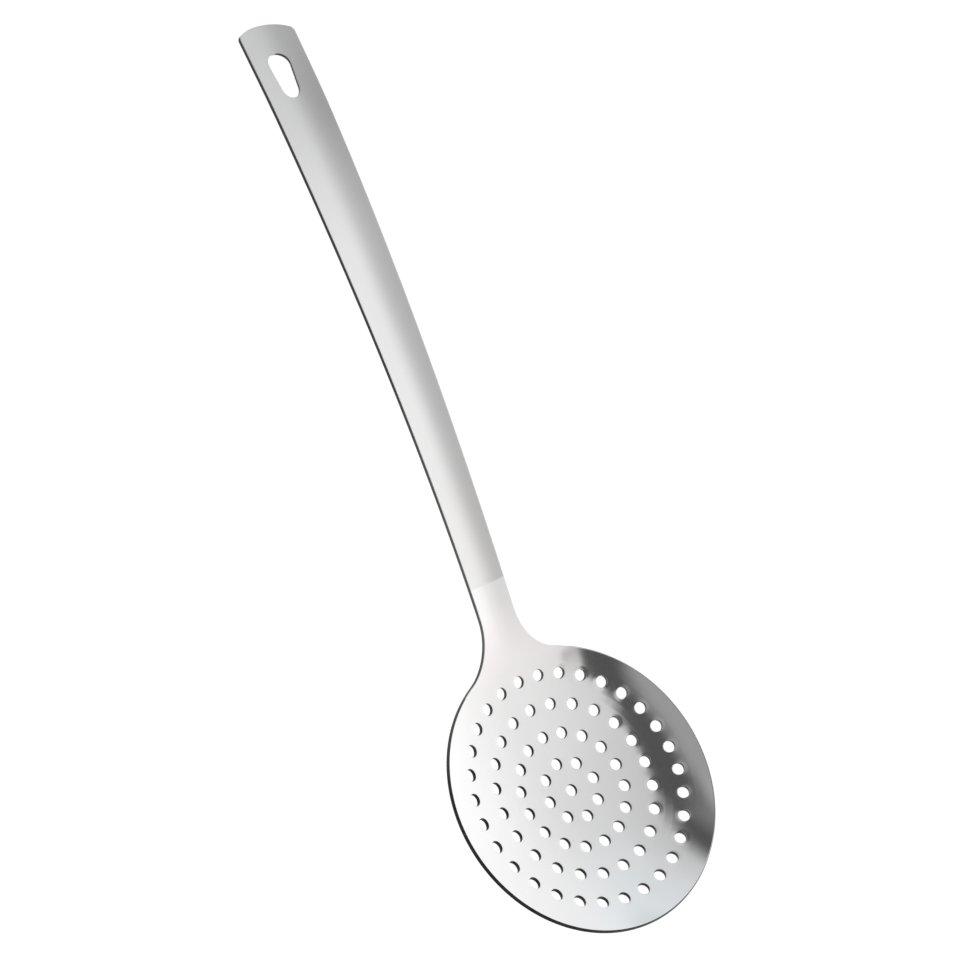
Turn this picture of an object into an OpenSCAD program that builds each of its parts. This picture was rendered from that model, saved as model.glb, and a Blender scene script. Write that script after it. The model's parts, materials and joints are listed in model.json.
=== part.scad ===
// One-piece skimmer, pressed from a single sheet of stainless steel.
// The sheet is one formed surface: a shallow round bowl that runs without a seam through a filleted
// neck into a long arched handle with a troughed section. Straining holes are punched in rings, and an
// egg-shaped hole near the handle's end hangs it on a hook.
// The part lies as it rests on a table, on the underside of its bowl and the tip of its handle.

/* [Sheet] */
// Thickness of the steel sheet
sheet_t = 1.4; // [1:0.1:2]

/* [Bowl] */
// Diameter of the bowl across its rim
bowl_d = 100; // [90:1:130]
// Depth of the bowl's inside, below its rim
bowl_depth = 10.5; // [8:0.5:14]

/* [Straining holes] */
// Diameter of one hole
hole_d = 4.2; // [3:0.1:5]
// Distance from one ring of holes to the next
ring_pitch = 10.1; // [8:0.1:14]
// Spacing of the holes along a ring, before it is rounded to an even number of holes
hole_spacing = 8.2; // [7.5:0.1:12]
// Plain margin between the last ring's line and the rim
rim_margin = 8; // [6:0.5:12]
// Distance from the bowl's middle to the middle of the rings, towards the handle
ring_offset = 0.8; // [0:0.1:2]

/* [Neck] */
// Width of the neck at its narrowest place
neck_w = 14.8; // [12:0.2:20]
// Distance from the rim to the narrowest place of the neck
neck_reach = 20; // [16:1:26]
// Radius of the fillets between the rim and the neck
neck_fillet_r = 19; // [12:1:22]
// How much steeper the neck is than the bowl at its rim, in degrees
neck_kick = 1.6; // [0:0.1:3]

/* [Handle] */
// Distance from the bowl's middle to the handle's tip, level with the rim
handle_reach = 269.5; // [220:0.5:320]
// Width of the handle at its end
end_w = 22; // [18:0.2:28]
// Radius of the arch that the handle follows along its length
arch_r = 945; // [800:5:1400]
// Slope of the two flanks of its troughed section, in degrees
trough_angle = 14.5; // [5:0.5:24]
// Slope of the flanks at the handle's end, where the trough is flatter
end_trough_angle = 9.5; // [5:0.5:24]
// Length over which the trough flattens towards the handle's end
flatten_run = 35; // [20:1:80]
// Rounding of the trough's fold, as a share of half the handle's width
trough_round = 0.45; // [0.2:0.05:1]
// Radius of the curve across the handle's end
end_curve_r = 19; // [16:1:60]
// Radius of the two corners beside that curve
end_corner_r = 2.2; // [1:0.1:4]

/* [Hanging hole] */
// Diameter of its wide end, nearer the handle's tip
hang_wide_d = 8.6; // [8:0.1:11]
// Diameter of its narrow end
hang_narrow_d = 6.8; // [5:0.1:8]
// Distance between the middles of its two ends
hang_span = 8.5; // [6:0.1:14]
// Steel between the hole and the handle's tip
hang_margin = 10.5; // [8:0.5:16]

/* [Hidden] */

rim_r = bowl_d / 2;
// The inside of the bowl is a cap of this sphere, and its outside one thicker by the sheet
bowl_r = (rim_r ^ 2 + bowl_depth ^ 2) / (2 * bowl_depth);
under_r = bowl_r + sheet_t;

// The handle's arch leaves the bowl's sphere here, where both have the neck's slope
neck_slope = asin(rim_r / bowl_r) + neck_kick;
leave_x = bowl_r * sin(neck_slope);
leave_z = bowl_r * (1 - cos(neck_slope));

// The bowl's form has faded into the handle's where the neck is narrowest
neck_x = rim_r + neck_reach;
fade_x = rim_r - rim_margin + hole_d / 2;

// Middles of the arcs in the sheet's outline
fillet_x = sqrt((rim_r + neck_fillet_r) ^ 2 - (neck_w / 2 + neck_fillet_r) ^ 2);
fillet_y = neck_w / 2 + neck_fillet_r;
end_curve_x = handle_reach - end_curve_r;
end_corner_y = end_w / 2 - end_corner_r;
end_corner_x = end_curve_x + sqrt((end_curve_r - end_corner_r) ^ 2 - end_corner_y ^ 2);

hang_x = handle_reach - hang_margin - hang_wide_d / 2;

// Steps along the outline and across it, fine enough for smooth edges
rim_steps = 48;
fillet_steps = 9;
side_steps = 34;
corner_steps = 4;
end_steps = 8;
cross_steps = 16;
// A cutter stands this far out of the sheet on both sides
through = 2;

// Eases from 0 to 1 with level ends
function ease(t) = let(u = min(max(t, 0), 1)) u * u * (3 - 2 * u);

// Half of the handle's width: it opens slowly at the neck, then more
function half_width(x) =
    let(t = min(max((x - neck_x) / (end_corner_x - neck_x), 0), 1))
    neck_w / 2 + (end_w - neck_w) / 2 * (t + ease(t)) / 2;

// Height of the bowl's sphere, and of the arched and troughed handle
function bowl_z(x, y) = bowl_r - sqrt(bowl_r ^ 2 - x ^ 2 - y ^ 2);
function arch_sine(x) = sin(neck_slope) - (x - leave_x) / arch_r;
function fold(x) = trough_round * half_width(x);
function flank_angle(x) =
    trough_angle + (end_trough_angle - trough_angle) * ease((x - handle_reach) / flatten_run + 1);
function handle_z(x, y) =
    leave_z + arch_r * (sqrt(1 - arch_sine(x) ^ 2) - cos(neck_slope))
    + tan(flank_angle(x)) * (norm([y, fold(x)]) - fold(x));

// Height of the sheet's upper face: one form fades into the other through the neck
function sheet_z(x, y) =
    let(b = ease((x - fade_x) / (neck_x - fade_x)))
    (b == 1 ? 0 : (1 - b) * bowl_z(x, y)) + (b == 0 ? 0 : b * handle_z(x, y));

// Points of the upper and the under face, square through the sheet from each other
function upper(x, y) = [x, y, sheet_z(x, y)];
function sheet_normal(x, y) =
    let(d = 0.01, v = [
        (sheet_z(x - d, y) - sheet_z(x + d, y)) / (2 * d),
        (sheet_z(x, y - d) - sheet_z(x, y + d)) / (2 * d),
        1])
    v / norm(v);
function under(x, y) = upper(x, y) - sheet_t * sheet_normal(x, y);

// One side of the sheet's outline from the far rim to the handle's tip, as arcs and a tapered side
rim_end = atan2(fillet_y, fillet_x);
corner_end = atan2(end_corner_y, end_corner_x - end_curve_x);
function arc_points(x, y, r, from, to, n) =
    [for (i = [1:n]) let(a = from + (to - from) * i / n) [x + r * cos(a), y + r * sin(a)]];
outline = concat(
    arc_points(0, 0, rim_r, 180, rim_end, rim_steps),
    arc_points(fillet_x, fillet_y, neck_fillet_r, rim_end + 180, 270, fillet_steps),
    [for (i = [1:side_steps])
        let(x = fillet_x + (end_corner_x - fillet_x) * i / side_steps) [x, half_width(x)]],
    arc_points(end_corner_x, end_corner_y, end_corner_r, 90, corner_end, corner_steps),
    [for (i = [1:end_steps - 1])
        let(a = corner_end * (1 - i / end_steps)) [end_curve_x + end_curve_r * cos(a), end_curve_r * sin(a)]]
);

// A line of points runs across the sheet at each step of the outline
rows = len(outline);
cross = cross_steps + 1;
function across(j) = 2 * j / cross_steps - 1;
far_tip = rows * cross;
handle_tip = far_tip + 1;
face_points = far_tip + 2;
function number(face, i, j) = face * face_points + i * cross + j;

sheet_points = concat(
    [for (p = outline, j = [0:cross_steps]) upper(p[0], p[1] * across(j))],
    [upper(-rim_r, 0), upper(handle_reach, 0)],
    [for (p = outline, j = [0:cross_steps]) under(p[0], p[1] * across(j))],
    [under(-rim_r, 0), under(handle_reach, 0)]
);

// Two triangles for one cell of a face, and for one cell of the cut edge
function cell(a, b, c, d) = [[a, b, c], [a, c, d]];
sheet_faces = concat(
    [for (i = [0:rows - 2], j = [0:cross_steps - 1])
        each cell(number(0, i, j), number(0, i, j + 1), number(0, i + 1, j + 1), number(0, i + 1, j))],
    [for (i = [0:rows - 2], j = [0:cross_steps - 1])
        each cell(number(1, i, j), number(1, i + 1, j), number(1, i + 1, j + 1), number(1, i, j + 1))],
    [for (j = [0:cross_steps - 1]) each [
        [far_tip, number(0, 0, j + 1), number(0, 0, j)],
        [far_tip + face_points, number(1, 0, j), number(1, 0, j + 1)],
        [handle_tip, number(0, rows - 1, j), number(0, rows - 1, j + 1)],
        [handle_tip + face_points, number(1, rows - 1, j + 1), number(1, rows - 1, j)]]],
    [for (i = [0:rows - 2]) each concat(
        cell(number(0, i, 0), number(0, i + 1, 0), number(1, i + 1, 0), number(1, i, 0)),
        cell(number(0, i + 1, cross_steps), number(0, i, cross_steps),
            number(1, i, cross_steps), number(1, i + 1, cross_steps)))],
    cell(far_tip, number(0, 0, 0), number(1, 0, 0), far_tip + face_points),
    cell(number(0, 0, cross_steps), far_tip, far_tip + face_points, number(1, 0, cross_steps)),
    cell(number(0, rows - 1, 0), handle_tip, handle_tip + face_points, number(1, rows - 1, 0)),
    cell(handle_tip, number(0, rows - 1, cross_steps), number(1, rows - 1, cross_steps),
        handle_tip + face_points)
);

// The bowl's underside and the tip of the handle both touch the table at this tilt
tip_under = under(handle_reach, 0);
rest_tilt = atan2(tip_under[2] - bowl_r, tip_under[0]) + asin(under_r / norm(tip_under - [0, 0, bowl_r]));
function rest_x(p) = p[0] * cos(rest_tilt) + p[2] * sin(rest_tilt);
far_x = rest_x(under(-rim_r, 0));
near_x = max(rest_x(upper(handle_reach, 0)), rest_x(tip_under));

// Lays the part on the table, with the origin under the middle of its length
module at_rest() {
    translate([-(far_x + near_x) / 2, 0, under_r - bowl_r * cos(rest_tilt)])
        rotate([0, rest_tilt, 0])
            children();
}

module formed_sheet() {
    polyhedron(sheet_points, sheet_faces, convexity = 4);
}

// One punch, square to the bowl's surface at x, y
module punch(x, y) {
    translate([x, y, bowl_z(x, y)])
        rotate([0, -asin(norm([x, y]) / bowl_r), atan2(y, x)])
            translate([0, 0, -sheet_t - through])
                cylinder(d = hole_d, h = sheet_t + 2 * through, $fn = 32);
}

// Rings of holes, each starting on the handle's line, with an even number of holes on every ring
module straining_punches() {
    rings = floor((rim_r - rim_margin) / ring_pitch);
    punch(ring_offset, 0);
    for (k = [1:rings]) {
        r = k * ring_pitch;
        count = 2 * round(PI * r / hole_spacing);
        for (i = [0:count - 1]) {
            a = 360 * i / count;
            punch(ring_offset + r * cos(a), r * sin(a));
        }
    }
}

// Outline of the hanging hole, its wide end at the origin: two arcs joined by their tangents
module egg() {
    wide = hang_wide_d / 2;
    narrow = hang_narrow_d / 2;
    lean = asin((wide - narrow) / hang_span);
    side = [[-wide * sin(lean), wide * cos(lean)], [-hang_span - narrow * sin(lean), narrow * cos(lean)]];
    circle(d = hang_wide_d, $fn = 48);
    translate([-hang_span, 0])
        circle(d = hang_narrow_d, $fn = 48);
    polygon([side[0], side[1], [side[1][0], -side[1][1]], [side[0][0], -side[0][1]]]);
}

module hanging_punch() {
    translate([hang_x, 0, sheet_z(hang_x, 0)])
        rotate([0, -asin(arch_sine(hang_x)), 0])
            translate([0, 0, -sheet_t - through])
                linear_extrude(sheet_t + 2 * through)
                    egg();
}

module skimmer() {
    color("silver")
        at_rest()
            difference() {
                formed_sheet();
                straining_punches();
                hanging_punch();
            }
}

skimmer();
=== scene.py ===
import json
import math

import bmesh
import bpy
from mathutils import Matrix, Vector

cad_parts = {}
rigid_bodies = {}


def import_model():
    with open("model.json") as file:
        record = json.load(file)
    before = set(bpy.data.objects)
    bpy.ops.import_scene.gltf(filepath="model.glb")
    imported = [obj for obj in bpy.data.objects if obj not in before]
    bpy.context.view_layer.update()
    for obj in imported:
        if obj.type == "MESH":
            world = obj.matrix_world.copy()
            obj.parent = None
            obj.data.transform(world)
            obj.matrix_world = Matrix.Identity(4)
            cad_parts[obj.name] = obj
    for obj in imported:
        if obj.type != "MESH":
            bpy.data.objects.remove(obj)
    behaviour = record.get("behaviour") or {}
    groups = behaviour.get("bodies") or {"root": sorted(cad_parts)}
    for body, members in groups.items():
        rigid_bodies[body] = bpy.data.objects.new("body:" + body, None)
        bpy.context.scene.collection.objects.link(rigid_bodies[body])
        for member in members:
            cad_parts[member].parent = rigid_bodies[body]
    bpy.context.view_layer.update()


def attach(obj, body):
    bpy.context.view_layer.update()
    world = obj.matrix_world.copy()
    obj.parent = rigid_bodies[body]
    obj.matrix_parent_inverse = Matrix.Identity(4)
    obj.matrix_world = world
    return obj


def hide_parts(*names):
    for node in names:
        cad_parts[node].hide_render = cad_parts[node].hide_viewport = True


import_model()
bpy.ops.object.select_all(action="DESELECT")

# The straining holes
# The skimmer is one sheet of stainless steel, which starts as a flat blank with its holes punched.
# One hole is drawn with a collar of faces round it, out to the edges of its own cell, and its copies
# go round each ring of the bowl.
hole_r = 0.0021
hole_points = 32
ring_middle = Vector((0.0008, 0, 0))
ring_pitch = 0.0101
ring_holes = (8, 16, 22, 30)
# The bowl is a cap of a sphere of this radius
rim_r = 0.05
bowl_depth = 0.0105
bowl_r = (rim_r ** 2 + bowl_depth ** 2) / (2 * bowl_depth)
# Half of a hole's cell, across its ring, and the steps from the collar out to the cell's edge
cell_reach = 0.004
cell_shares = (0.5, 1)
# How far the rings of a hole's collar stand out from its edge
collar_rings = (0.00028, 0.0007, 0.0011)
# The middle hole's cell is round, and this much wider than its collar
middle_cell = 1.3
# Points closer than this are one
weld_gap = 1e-6

bpy.ops.mesh.primitive_circle_add(vertices=hole_points, radius=hole_r, location=ring_middle)
skimmer = bpy.context.object
skimmer.name = skimmer.data.name = "skimmer_sheet"
bpy.ops.object.transform_apply()
bpy.ops.object.mode_set(mode="EDIT")
bpy.ops.mesh.select_mode(type="EDGE")


def picked():
    """The selected vertices."""
    return [v for v in bmesh.from_edit_mesh(skimmer.data).verts if v.select]


def extrude():
    """Draws new faces out of the selected edges. Their points stay put until they are moved."""
    bpy.ops.mesh.extrude_region_move()
    return picked()


def pick_open(test):
    """Selects the open edges whose two points both pass the test."""
    bpy.ops.mesh.select_all(action="DESELECT")
    blank = bmesh.from_edit_mesh(skimmer.data)
    for edge in blank.edges:
        if edge.is_boundary and all(test(v.co) for v in edge.verts):
            edge.select_set(True)
    bmesh.update_edit_mesh(skimmer.data)


def collar(middle):
    """Widens the selected hole by its collar rings."""
    grown = hole_r
    for step in collar_rings:
        extrude()
        scale = (hole_r + step) / grown
        bpy.ops.transform.resize(value=(scale, scale, 1), center_override=middle)
        grown = hole_r + step


def cell_side(angle):
    """Where a point at this angle round the hole goes on the square edge of its cell, from -1 to 1."""
    quarter = math.pi / 4
    turn = (angle + math.pi) % (2 * math.pi) - math.pi
    if abs(turn) <= quarter:
        return 1, turn / quarter
    if abs(turn) >= 3 * quarter:
        return -1, (math.pi - abs(turn)) / quarter * (1 if turn > 0 else -1)
    return (math.pi / 2 - abs(turn)) / quarter, 1 if turn > 0 else -1


collar(ring_middle)
extrude()
bpy.ops.transform.resize(value=(middle_cell, middle_cell, 1), center_override=ring_middle)

for ring, holes in enumerate(ring_holes, 1):
    ring_r = ring * ring_pitch
    middle = ring_middle + Vector((ring_r, 0, 0))
    bpy.ops.mesh.primitive_circle_add(vertices=hole_points, radius=hole_r, location=middle)
    collar(middle)
    collar_edge = [v.co - middle for v in picked()]
    for share in cell_shares:
        for v, out in zip(extrude(), collar_edge):
            outward, round_it = cell_side(math.atan2(out.y, out.x))
            r, a = ring_r + outward * cell_reach, round_it * math.pi / holes
            edge = ring_middle + Vector((r * math.cos(a), r * math.sin(a), 0))
            v.co = (middle + out).lerp(edge, share)
    # The holes are round in the formed bowl, so they start narrower along its slope
    bpy.ops.mesh.select_linked()
    slope = math.asin(middle.x / bowl_r)
    for v in picked():
        out = v.co - middle
        near = max(0, 1 - max(out.length - hole_r, 0) / (cell_reach - hole_r))
        v.co.x = middle.x + out.x * (1 - near * (1 - math.cos(slope)))
    bpy.ops.mesh.spin(steps=holes - 1, dupli=True, angle=2 * math.pi * (holes - 1) / holes,
                      center=ring_middle, axis=(0, 0, 1))
bpy.ops.mesh.select_all(action="SELECT")
bpy.ops.mesh.remove_doubles(threshold=weld_gap)


def at_ring(co, *radii):
    """Whether a point lies on one of these circles round the rings' middle, to within 0.02 mm."""
    return any(abs((co - ring_middle).length - r) < 0.00002 for r in radii)


rings_r = middle_cell * (hole_r + collar_rings[-1])
for ring in range(1, len(ring_holes) + 1):
    next_r = ring * ring_pitch - cell_reach
    pick_open(lambda co: at_ring(co, rings_r, next_r))
    bpy.ops.mesh.bridge_edge_loops()
    rings_r = ring * ring_pitch + cell_reach

# The rim
# The blank runs on from the last ring to the round edge of the bowl, whose middle lies 0.8 mm further
# from the handle than the rings' does. The last step is narrow, to hold the cut edge crisp.
rim_shares = (0.25, 0.5, 0.75, 0.94, 1)
pick_open(lambda co: at_ring(co, rings_r))
done = 0
for share in rim_shares:
    old = ring_middle * (1 - done)
    extrude()
    scale = (rings_r + (rim_r - rings_r) * share) / (rings_r + (rim_r - rings_r) * done)
    bpy.ops.transform.resize(value=(scale, scale, 1), center_override=old)
    bpy.ops.transform.translate(value=ring_middle * (1 - share) - old)
    done = share

# The neck
# A fillet on each side draws the rim in to a narrow neck. Row after row of edges is extruded from
# the arc of the rim between the fillets, each a little flatter than the last.
neck_half = 0.0074
fillet_r = 0.019
fillet_y = neck_half + fillet_r
fillet_x = math.sqrt((rim_r + fillet_r) ** 2 - fillet_y ** 2)
fillet_rows = 14
# Half of the angle that the neck's mouth takes up on the rim
rim_lean = math.radians(22.5)
# The fillets leave the rim's circle so slowly that its next points move in, to leave them room
mouth_rooms = (0.0002, 0.00014)


def ease(t):
    """Rises smoothly from 0 to 1 as t does."""
    u = min(max(t, 0), 1)
    return u * u * (3 - 2 * u)


def crown(s, lean):
    """Height of an arc of this half angle over its chord, from 0 at its ends to 1 in its middle."""
    return (math.sqrt(1 - (s * math.sin(lean)) ** 2) - math.cos(lean)) / (1 - math.cos(lean))


def next_row(x, half, bulge=0, lean=rim_lean):
    """Extrudes the selected row to its new place: its ends at x and half, its middle bulged forward."""
    row = extrude()
    old = max(v.co.y for v in row)
    for v in row:
        s = v.co.y / old
        v.co.x, v.co.y = x + bulge * crown(s, lean), half * s


pick_open(lambda co: (abs(co.length - rim_r) < 0.00001
                      and abs(math.atan2(co.y, co.x)) < rim_lean + 0.001))
mouth = sorted(picked(), key=lambda v: v.co.y)
for i, room in enumerate(mouth_rooms, 1):
    for v in mouth[i], mouth[-1 - i]:
        v.co *= 1 - room / rim_r
for row in range(1, fillet_rows + 1):
    turn = math.pi + rim_lean + (math.pi / 2 - rim_lean) * row / fillet_rows
    next_row(fillet_x + fillet_r * math.cos(turn), fillet_y + fillet_r * math.sin(turn),
             rim_r * (1 - math.cos(rim_lean)) * (1 - ease(row / fillet_rows)))

# The handle
# The handle is the same sheet as the bowl, and widens towards its end. Rows of edges run on along
# it, as far as the cell of its hanging hole.
neck_x = 0.07
handle_reach = 0.2695
end_half = 0.011
end_curve_r = 0.019
end_corner_r = 0.0022
end_curve_x = handle_reach - end_curve_r
end_corner_y = end_half - end_corner_r
end_corner_x = end_curve_x + math.sqrt((end_curve_r - end_corner_r) ** 2 - end_corner_y ** 2)
handle_rows = 112
hang_cell = (0.2395, 0.2622)


def half_width(x):
    """Half of the handle's width: it opens slowly at the neck, then more."""
    t = min(max((x - neck_x) / (end_corner_x - neck_x), 0), 1)
    return neck_half + (end_half - neck_half) * (t + ease(t)) / 2


for row in range(1, handle_rows + 1):
    x = fillet_x + (hang_cell[0] - fillet_x) * row / handle_rows
    next_row(x, half_width(x))
columns = sorted(v.co.y / half_width(hang_cell[0]) for v in picked())

# The hanging hole
# An egg-shaped hole is punched near the tip, with its wide end towards it, to hang the skimmer by.
# Its cell fills the handle's whole width, and its points stand opposite those of the cell's edge.
wide_r, narrow_r = 0.0043, 0.0034
hang_span = 0.0085
tip_margin = 0.0105
hang_x = handle_reach - tip_margin - wide_r
hang_middle = Vector((hang_x - hang_span / 2, 0, 0))
side_cells = 16
hang_shares = (0.05, 0.14, 0.3, 0.5, 0.74, 0.94, 1)


def egg_gap(x, y):
    """Distance of a point from the hole's outline, negative inside: two circles and their tangents."""
    along, across = hang_x - x, abs(y)
    lean = (wide_r - narrow_r) / hang_span
    rise = math.sqrt(1 - lean ** 2)
    k = -lean * across + rise * along
    if k < 0:
        return math.hypot(along, across) - wide_r
    if k > rise * hang_span:
        return math.hypot(along - hang_span, across) - narrow_r
    return across * rise + along * lean - wide_r


def on_egg(edge):
    """The point of the hole's outline towards a point of the cell's edge."""
    low, high = 0.0, 1.0
    for _ in range(30):
        share = (low + high) / 2
        p = hang_middle.lerp(edge, share)
        low, high = (share, high) if egg_gap(p.x, p.y) < 0 else (low, share)
    return hang_middle.lerp(edge, share)


sides = [hang_cell[0] + (hang_cell[1] - hang_cell[0]) * i / side_cells for i in range(1, side_cells)]
cell_edge = (
    [Vector((hang_cell[0], -half_width(hang_cell[0]) * s, 0)) for s in columns]
    + [Vector((x, -half_width(x), 0)) for x in sides]
    + [Vector((hang_cell[1], half_width(hang_cell[1]) * s, 0)) for s in columns]
    + [Vector((x, half_width(x), 0)) for x in reversed(sides)]
)
bpy.ops.mesh.primitive_circle_add(vertices=len(cell_edge), radius=wide_r, location=hang_middle)
loop = picked()
ordered, edge = [loop[0]], loop[0].link_edges[0]
while len(ordered) < len(loop):
    ordered.append(edge.other_vert(ordered[-1]))
    edge = next(e for e in ordered[-1].link_edges if e is not edge)
egg = [on_egg(p) for p in cell_edge]
for v, place in zip(ordered, egg):
    v.co = place
places = egg
for share in hang_shares:
    last, places = places, [p.lerp(far, share) for p, far in zip(egg, cell_edge)]
    for v in extrude():
        v.co = places[min(range(len(last)), key=lambda i: (v.co - last[i]).length)]
bmesh.update_edit_mesh(skimmer.data)
bpy.ops.mesh.select_all(action="SELECT")
bpy.ops.mesh.remove_doubles(threshold=weld_gap)

# The handle's end
# The last rows of the handle round its two small corners and finish on the curve across its end,
# which is cut with the rest of the blank's outline.
corner_lean = math.atan2(end_corner_y, end_corner_x - end_curve_x)
end_bulge = end_curve_r * (1 - math.cos(corner_lean))
corner_rows = 5
end_rows = [(x, half_width(x)) for x in ((hang_cell[1] + end_corner_x) / 2, end_corner_x)]
end_rows += [(end_corner_x + end_corner_r * math.cos(a), end_corner_y + end_corner_r * math.sin(a))
             for a in (math.pi / 2 + (corner_lean - math.pi / 2) * i / corner_rows
                       for i in range(1, corner_rows + 1))]
pick_open(lambda co: abs(co.x - hang_cell[1]) < weld_gap)
for i, (x, half) in enumerate(end_rows, 1):
    next_row(x, half, end_bulge * i / len(end_rows), corner_lean)

# The pressed form
# The punched blank is pressed into shape: a shallow bowl, a neck that rises out of it, and an
# arched handle with a troughed section. It then gets the thickness of its steel, and soft edges.
bpy.ops.mesh.select_all(action="SELECT")
bpy.ops.mesh.normals_make_consistent(inside=False)
bpy.ops.object.mode_set(mode="OBJECT")
if skimmer.data.polygons[0].normal.z < 0:
    skimmer.data.flip_normals()

sheet_t = 0.0014
arch_r = 0.945
# The neck leaves the bowl a little steeper than the bowl's own form does at the rim
neck_slope = math.asin(rim_r / bowl_r) + math.radians(1.6)
leave_x = bowl_r * math.sin(neck_slope)
leave_z = bowl_r * (1 - math.cos(neck_slope))
# Where the bowl's form starts to fade into the handle's
fade_x = rim_r - 0.008 + hole_r
# The handle's two flanks rise this steeply from its middle, and less over the last part to its tip
flank_lean = 14.5
flank_flatter = 5
flatter_run = 0.035
# The share of the handle's width over which one flank turns into the other
fold_share = 0.45
# How far, and over what width, the punch drew the steel down round each hole
draw_depth = 0.000025
draw_width = 0.0011
# How wide the softened edges of the straining holes are, and all the others
soft_holes = 0.00008
soft_cuts = 0.00011


def sheet_z(x, y):
    """Height of the pressed sheet's upper face."""
    b = ease((x - fade_x) / (neck_x - fade_x))
    z = 0
    if b < 1:
        z += (1 - b) * (bowl_r - math.sqrt(bowl_r ** 2 - x ** 2 - y ** 2))
    if b > 0:
        climb = math.sin(neck_slope) - (x - leave_x) / arch_r
        arch = leave_z + arch_r * (math.sqrt(1 - climb ** 2) - math.cos(neck_slope))
        flatter = flank_flatter * ease((x - handle_reach) / flatter_run + 1)
        flank = math.tan(math.radians(flank_lean - flatter))
        fold = fold_share * half_width(x)
        z += b * (arch + flank * (math.hypot(y, fold) - fold))
    return z


punches = [ring_middle] + [
    ring_middle + ring * ring_pitch * Vector((math.cos(a), math.sin(a), 0))
    for ring, holes in enumerate(ring_holes, 1)
    for a in (2 * math.pi * i / holes for i in range(holes))
]
for v in skimmer.data.vertices:
    z = sheet_z(v.co.x, v.co.y)
    if v.co.x < rim_r:
        flat = Vector((v.co.x, v.co.y, 0))
        gap = min((flat - p).length for p in punches) - hole_r
        z -= draw_depth * ease(1 - gap / draw_width)
    v.co.z = z

bpy.ops.object.modifier_add(type="SOLIDIFY")
wall = skimmer.modifiers[-1]
wall.thickness = sheet_t
wall.offset = -1
wall.use_even_offset = True
wall.use_quality_normals = True
wall.material_offset_rim = 1
skimmer.data.materials.append(None)
skimmer.data.materials.append(None)
bpy.ops.object.modifier_apply(modifier=wall.name)

bpy.ops.object.mode_set(mode="EDIT")
for at_holes, width in (True, soft_holes), (False, soft_cuts):
    bpy.ops.mesh.select_all(action="DESELECT")
    body = bmesh.from_edit_mesh(skimmer.data)
    for edge in body.edges:
        middle = (edge.verts[0].co + edge.verts[1].co) / 2
        flat = Vector((*middle.xy, 0))
        if len({f.material_index for f in edge.link_faces}) == 2:
            edge.select_set(((flat - ring_middle).length < rings_r) == at_holes)
    bmesh.update_edit_mesh(skimmer.data)
    bpy.ops.mesh.bevel(offset=width, segments=2, affect="EDGES", material=1, loop_slide=False)
    # The handle was polished after it was cut, so its softened edges are as bright as its faces
    body = bmesh.from_edit_mesh(skimmer.data)
    for face in body.faces:
        if face.select and face.calc_center_median().x >= fade_x:
            face.material_index = 0
    bmesh.update_edit_mesh(skimmer.data)
bpy.ops.object.mode_set(mode="OBJECT")
bpy.ops.object.shade_smooth()
bpy.ops.object.modifier_add(type="WEIGHTED_NORMAL")
crisp = skimmer.modifiers[-1]
crisp.mode = "FACE_AREA"
crisp.weight = 50
bpy.ops.object.modifier_apply(modifier=crisp.name)

# It lies as the CAD part does, on the underside of its bowl and the tip of its handle
tip = Vector((handle_reach, 0, sheet_z(handle_reach, 0)))
step = 0.00001
run = Vector((1, 0, (tip.z - sheet_z(handle_reach - step, 0)) / step)).normalized()
tip_under = tip - sheet_t * Vector((-run.z, 0, run.x))
far_slope = math.asin(rim_r / bowl_r)
far_under = Vector((-rim_r - sheet_t * math.sin(far_slope), 0,
                    bowl_r - (bowl_r + sheet_t) * math.cos(far_slope)))
to_tip = tip_under - Vector((0, 0, bowl_r))
rest_tilt = math.atan2(to_tip.z, to_tip.x) + math.asin((bowl_r + sheet_t) / to_tip.length)
lay = Matrix.Rotation(rest_tilt, 4, "Y")
rest_shift = Vector((-((lay @ far_under).x + max((lay @ tip).x, (lay @ tip_under).x)) / 2, 0,
                     bowl_r + sheet_t - bowl_r * math.cos(rest_tilt)))
skimmer.rotation_euler = (0, rest_tilt, 0)
skimmer.location = rest_shift
bpy.ops.object.transform_apply()


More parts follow.
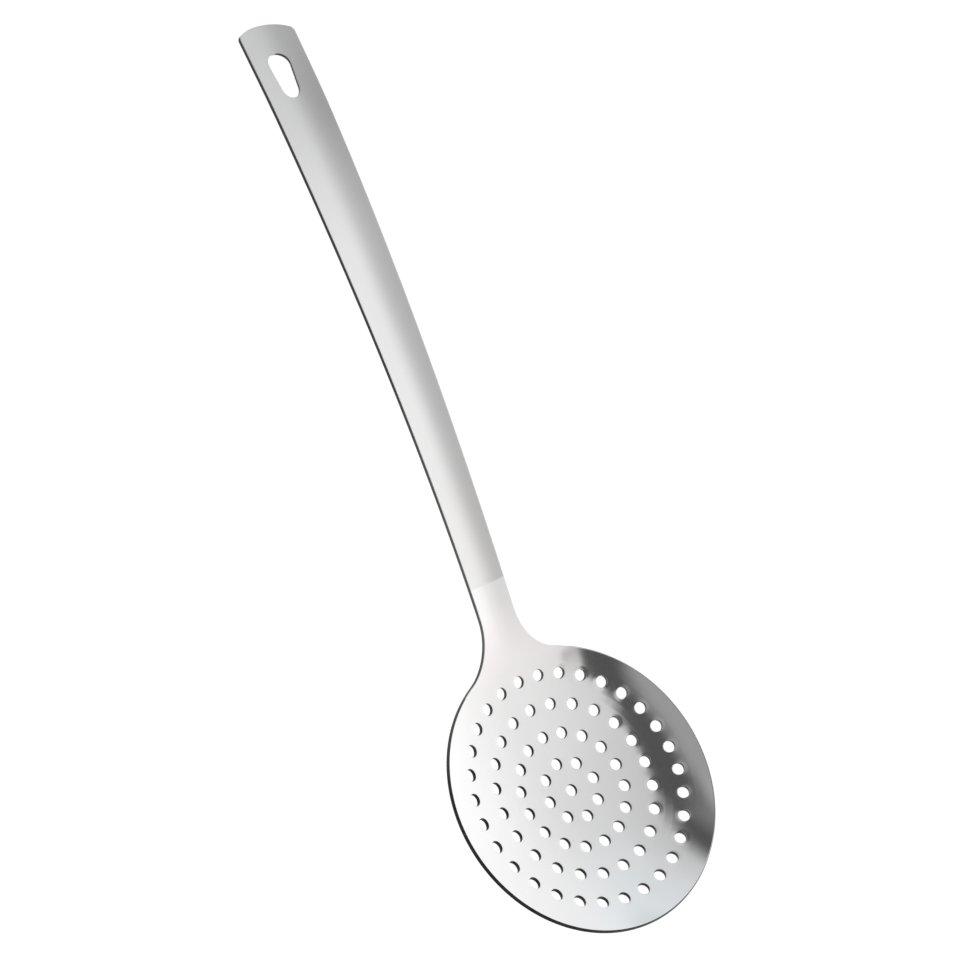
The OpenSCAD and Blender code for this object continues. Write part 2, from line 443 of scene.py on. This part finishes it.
# The steel's finish
# The bowl and neck are polished. The handle is brushed satin down to a crisp line across it, above
# the neck, and painted shade darkens it towards its tip. The cut edges and the holes' walls are
# painted near black, partly the rougher steel that the shears and punches leave, and partly painted
# shade.
class Signal:
    """A socket of a material's nodes. An expression on signals and numbers adds its Math nodes."""

    def __init__(self, tree, socket):
        self.tree, self.socket = tree, socket

    @classmethod
    def node(cls, tree, kind, settings=(), out=0, **inputs):
        """An output of a new node. Its settings come first, then its inputs, by name or as _number."""
        made = tree.nodes.new(kind)
        for name, value in dict(settings).items():
            if name == "stops":
                ramp = made.color_ramp
                while len(ramp.elements) < len(value):
                    ramp.elements.new(1)
                for stop, (place, shade) in zip(ramp.elements, value):
                    stop.position, stop.color = place, (shade, shade, shade, 1)
            else:
                setattr(made, name, value)
        for name, value in inputs.items():
            socket = made.inputs[int(name[1:]) if name[1:].isdigit() else name.replace("_", " ")]
            if isinstance(value, cls):
                tree.links.new(value.socket, socket)
            else:
                socket.default_value = value
        return cls(tree, made.outputs[out])

    def math(self, operation, *values):
        """A Math node on these signals and numbers."""
        values = {f"_{i}": v for i, v in enumerate(values)}
        return self.node(self.tree, "ShaderNodeMath", {"operation": operation}, **values)

    def __add__(self, other):
        return self.math("ADD", self, other)

    def __sub__(self, other):
        return self.math("SUBTRACT", self, other)

    def __rsub__(self, other):
        return self.math("SUBTRACT", other, self)

    def __mul__(self, other):
        return self.math("MULTIPLY", self, other)

    def __truediv__(self, other):
        return self.math("DIVIDE", self, other)

    def between(self, low, high):
        """Rises smoothly from 0 at low to 1 at high."""
        return self.node(self.tree, "ShaderNodeMapRange", {"interpolation_type": "SMOOTHSTEP"},
                         Value=self, From_Min=low, From_Max=high)

    def blend(self, low, high):
        """From one colour at 0 to another at 1. Each is a signal, or its red, green and blue."""
        low, high = (c if isinstance(c, Signal) else (*c, 1) for c in (low, high))
        return self.node(self.tree, "ShaderNodeMix", {"data_type": "RGBA"}, out=2,
                         _0=self, _6=low, _7=high)

    def curve(self, *points):
        """Straight lines from point to point, each an input with its output, and level beyond them."""
        places, values = zip(*points)
        span, rise = places[-1] - places[0], max(values) - min(values)
        stops = [((p - places[0]) / span, (v - min(values)) / rise) for p, v in points]
        ramp = self.node(self.tree, "ShaderNodeValToRGB", {"stops": stops},
                         Fac=(self - places[0]) / span)
        return ramp * rise + min(values)

    __radd__, __rmul__ = __add__, __mul__


def finish(name):
    """A new material, its nodes, its shader, and the place on the flat blank of each of its points."""
    material = bpy.data.materials.new(name)
    material.use_nodes = True
    tree = material.node_tree
    place = Signal.node(tree, "ShaderNodeTexCoord", out="Object")
    blank = Signal.node(tree, "ShaderNodeMapping", {"vector_type": "TEXTURE"}, Vector=place,
                        Location=rest_shift, Rotation=(0, rest_tilt, 0))
    return material, tree, tree.nodes["Principled BSDF"], blank


def grain(tree, blank, scale, detail=3):
    """Noise over the blank, with its scale along each axis in waves per metre."""
    stretched = Signal.node(tree, "ShaderNodeMapping", Vector=blank, Scale=scale)
    return Signal.node(tree, "ShaderNodeTexNoise", Vector=stretched, Scale=1.0, Detail=detail)


def feed(tree, shader, **signals):
    """Links signals to the sockets of a shader or an output."""
    for name, signal in signals.items():
        tree.links.new(signal.socket, shader.inputs[name.replace("_", " ")])


steel, tree, shader, blank = finish("polished_and_satin_steel")
shader.inputs["Metallic"].default_value = 1
along, across = (Signal.node(tree, "ShaderNodeSeparateXYZ", Vector=blank, out=axis) for axis in "XY")
# The line where the satin starts wanders by a fraction of a millimetre
wander = grain(tree, blank, (300, 300, 300))
satin_from, satin_to = 0.0739, 0.0743
satin = (along + (wander - 0.5) * 0.0003).between(satin_from, satin_to)
strokes = grain(tree, blank, (45, 5200, 5200), 4)
long_strokes = grain(tree, blank, (9, 900, 900), 2)
scuffs = grain(tree, blank, (700, 2600, 2600), 5)
cloud = grain(tree, blank, (35, 60, 60), 2)
satin_rough = 0.39 + (strokes - 0.5) * 0.14 + (long_strokes - 0.5) * 0.06
polish_rough = 0.08 + (scuffs - 0.5) * 0.04 + (cloud - 0.5) * 0.02
rough = polish_rough + (satin_rough - polish_rough) * satin
# Painted shade darkens the satin towards the handle's tip
painted_tip_shade = along.curve((0.19, 0), (0.21, 0.16), (0.222, 0.32), (0.234, 0.5), (0.26, 0.6))
# Painted light makes the handle's middle a little brighter, and painted shade makes one side of it
# darker by the neck
painted_light_and_shade = 0.11 * (along.curve((0.1, 0), (0.13, 1), (0.18, 1), (0.2, 0))
               * across.curve((-0.004, 0), (0.0005, 1), (0.003, 1), (0.006, 0)))
painted_light_and_shade += 0.2 * (along.curve((0.17, 0), (0.2, 1), (0.225, 0.9), (0.25, 0))
               * across.curve((-0.008, 0.6), (-0.003, 1), (0.001, 1), (0.004, 0.3), (0.008, -0.35)))
painted_light_and_shade -= 0.2 * (1 - along.between(0.09, 0.125)) * (1 - across.between(-0.005, -0.0015))
tone = 0.76 + (cloud - 0.5) * 0.07 + ((strokes - 0.5) * 0.24 - 0.05 + painted_light_and_shade) * satin - painted_tip_shade
colour = tone.blend((0.597, 0.597, 0.597), (0.825, 0.825, 0.825))
height = strokes * satin + scuffs * 0.02 * (1 - satin)
bump = Signal.node(tree, "ShaderNodeBump", Strength=0.12, Distance=0.00003, Height=height)
feed(tree, shader, Base_Color=colour, Roughness=rough, Normal=bump)
skimmer.data.materials[0] = steel

edge_steel, tree, shader, blank = finish("sheared_steel_painted_shade")
shader.inputs["Metallic"].default_value = 1
streaks = grain(tree, blank, (900, 900, 220))
pits = grain(tree, blank, (2600, 2600, 2600), 4)
along, across = (Signal.node(tree, "ShaderNodeSeparateXYZ", Vector=blank, out=axis) for axis in "XY")
# Painted light makes the cut edge a little brighter along the neck, and one side of the hanging
# hole's wide end is lighter
painted_neck_edge_light = along.curve((0.02, 0), (0.035, 0.3), (0.06, 0.75), (0.11, 0.5), (0.15, 0.2))
# The edge's near-black colour is partly the rougher steel that shears and punches leave, and partly
# painted shade
painted_edge_light_and_shade = (streaks * 0.3 + painted_neck_edge_light).blend((0.008, 0.008, 0.008), (0.13, 0.128, 0.126))
bright_hole_side = (along.between(0.2565, 0.258) * across.between(-0.0012, 0.0004)
          * (1 - across.between(0.0048, 0.0058)))
colour = bright_hole_side.blend(painted_edge_light_and_shade, (0.6, 0.6, 0.6))
bump = Signal.node(tree, "ShaderNodeBump", Strength=0.25, Distance=0.00004, Height=pits)
feed(tree, shader, Base_Color=colour, Roughness=0.34 + (pits - 0.5) * 0.2, Normal=bump)
skimmer.data.materials[1] = edge_steel

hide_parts("skimmer")
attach(skimmer, "root")

# The table
# The skimmer lies on a plain white table. The camera sees it as plain white, and reflections see it
# a little darker, with its own shade. It takes the skimmer's shadow.
table_size = 12
table_drop = 0.00005
table_white = (0.8, 0.8, 0.8, 1)
table_glow = 1.06
seen_white = 0.93
mirrored_white = 0.4

bpy.ops.object.select_all(action="DESELECT")
bpy.ops.mesh.primitive_plane_add(size=table_size, location=(0, 0, -table_drop))
table = bpy.context.object
table.name = "table"
table_paint = bpy.data.materials.new("white_table")
table_paint.use_nodes = True
tree = table_paint.node_tree
tree.nodes.clear()
seen, mirrored, through = (Signal.node(tree, "ShaderNodeLightPath", out=f"Is {ray} Ray")
                           for ray in ("Camera", "Glossy", "Transmission"))
plain = Signal.node(tree, "ShaderNodeBsdfDiffuse", Color=table_white)
white = Signal.node(tree, "ShaderNodeEmission", Color=(1, 1, 1, 1), Strength=table_glow)
mixed = Signal.node(tree, "ShaderNodeMixShader", _1=plain, _2=white,
                    Fac=seen * seen_white + (mirrored + through) * mirrored_white)
feed(tree, tree.nodes.new("ShaderNodeOutputMaterial"), Surface=mixed)
table.data.materials.append(table_paint)

# The light tent
# A long tent of white cloth arches over the table, and only reflections see it. A dark slit is left
# open in it overhead, along the skimmer, with a thin grey cloth over its camera side.
tent_r = 4
tent_length = 30

bpy.ops.mesh.primitive_cylinder_add(vertices=128, radius=tent_r, depth=tent_length,
                                    end_fill_type="NOTHING", rotation=(0, math.pi / 2, 0))
tent = bpy.context.object
tent.name = "light_tent"
bpy.ops.object.transform_apply()
bpy.ops.object.shade_smooth()
tent.visible_camera = tent.visible_diffuse = tent.visible_shadow = False
tent.visible_transmission = tent.visible_volume_scatter = False
tent_cloth = bpy.data.materials.new("tent_cloth")
tent_cloth.use_nodes = True
tree = tent_cloth.node_tree
tree.nodes.clear()
place = Signal.node(tree, "ShaderNodeTexCoord", out="Object")
x, y, z = (Signal.node(tree, "ShaderNodeSeparateXYZ", Vector=place, out=axis) for axis in "XYZ")
distance = Signal.node(tree, "ShaderNodeVectorMath", {"operation": "LENGTH"}, out="Value", _0=place)
# A place in the tent goes by its direction: how far along the skimmer it points, from -1 by the
# bowl's end to 1 by the handle's, and its lean from overhead towards the camera's side, in degrees
aside = x / distance
lean = y.math("ARCTAN2", y, z) * math.degrees(1)

# The cloth is brightest low down on the far side, and dims towards the handle's end. It is dim again
# low down beyond both ends of the skimmer, and has a small grey patch by the slit's bowl end.
bright = lean.curve((-90, 1.28), (-70, 1.27), (-61, 1.22), (-52, 1.11), (-40, 0.99), (-31, 0.955),
                    (-25, 0.915), (-19, 0.875), (-12, 0.82), (90, 0.8))
bright *= aside.curve((-0.6, 1.05), (-0.3, 1.08), (-0.1, 1.04), (0.1, 0.99), (0.3, 0.905),
                      (0.5, 0.855), (0.7, 0.81))
fuller = lean.curve((-62, 0), (-46, 0.06), (-38, 0.09), (-31, 0), (-25, -0.05))
bright *= 1 + aside.between(0.4, 0.62) * fuller
past_ends = aside.math("ABSOLUTE", aside).between(0.58, 0.8) * (1 - lean.between(-66, -52))
bright *= 1 - past_ends * 0.42
patch = aside.curve((-0.25, 0), (-0.21, 0.38), (-0.178, 0.21), (-0.155, 0.12), (-0.1, 0.04), (0, 0))
bright *= 1 - lean.between(-18, -16.5) * patch

# The slit's far edge, how soft that edge is, and the edge of the grey cloth, all in degrees of lean
far_edge = aside.curve((-0.09, -11.3), (-0.05, -10.3), (-0.04, -9), (0, -8.6), (0.1, -7.3),
                       (0.3, -7.5), (0.4, -9), (0.5, -12), (0.6, -15.5), (0.7, -19.5), (0.8, -21.5))
far_soft = aside.curve((-0.05, 1), (0, 2), (0.1, 2.5), (0.2, 1.6), (0.3, 1.5), (0.4, 2.3),
                       (0.5, 3), (0.6, 5.5))
grey_edge = aside.curve((0, -0.1), (0.1, 0.5), (0.2, 1.4), (0.3, 2.9), (0.4, 2.1), (0.5, 1.6),
                        (0.6, 0.9), (0.7, -0.6))
grey = (0.3 * aside.curve((-0.14, 0.1), (-0.04, 1)) * (lean - grey_edge).between(-3, 4)
        * (1 - lean.between(11, 22)))
dark = 0.1 + grey + 0.14 * aside.between(0.52, 0.72) * lean.between(-13, -3)
# The slit's far side stops short of its ends, and all of it closes again towards the camera
slit = ((lean - far_edge) / far_soft).between(-1, 1)
ends = aside.curve((-0.23, 0), (-0.2, 1), (0.78, 1), (0.9, 0))
slit *= ends + (1 - ends) * lean.between(5, 12)
slit *= 1 - (lean - aside.curve((-0.1, 14), (0.05, 4), (0.2, -6))).between(24, 38)
strength = bright * (1 - slit) + dark * slit

# Its light is a little warm by the bowl's end, and cool low down by the handle's
warm = aside.between(-0.4, -0.05).blend((1.04, 1, 0.99), (1, 1, 1))
cool = aside.between(0.38, 0.72) * (1 - lean.between(-55, -15))
tint = cool.blend(warm, (0.955, 1, 1.03))
light = Signal.node(tree, "ShaderNodeVectorMath", {"operation": "SCALE"}, _0=tint, Scale=strength)
glow = Signal.node(tree, "ShaderNodeEmission", Color=light, Strength=1.0)
feed(tree, tree.nodes.new("ShaderNodeOutputMaterial"), Surface=glow)
tent.data.materials.append(tent_cloth)

# The lamp and the room
# A round soft lamp hangs above the far side of the table, in a plain white room. It gives the skimmer
# its light and its soft shadow, and doesn't show in reflections.
lamp_place = Vector((-0.3, -0.5, 1.1))

world = bpy.data.worlds.new("white_studio")
world.use_nodes = True
world.node_tree.nodes["Background"].inputs["Color"].default_value = (1, 1, 1, 1)
bpy.context.scene.world = world
bpy.ops.object.light_add(type="AREA", location=lamp_place)
lamp = bpy.context.object
lamp.data.shape = "DISK"
lamp.data.size = 0.7
lamp.data.energy = 4
lamp.visible_glossy = False
lamp.rotation_euler = lamp_place.to_track_quat("Z", "Y").to_euler()

# The camera
# It looks down at the skimmer from its side, turned so that the handle runs to the upper left. Its
# focal length is as many pixels as the photograph's perspective asks for.
focal_px, photo_px = 1650, 980
bpy.ops.object.camera_add(location=(0.010161, 0.310388, 0.475924),
                          rotation=[math.radians(a) for a in (12.18, -32.812, -115.6146)])
camera = bpy.context.object
camera.data.sensor_width = 36
camera.data.lens = camera.data.sensor_width * focal_px / photo_px
bpy.context.scene.camera = camera
bpy.context.scene.view_settings.view_transform = "Standard"
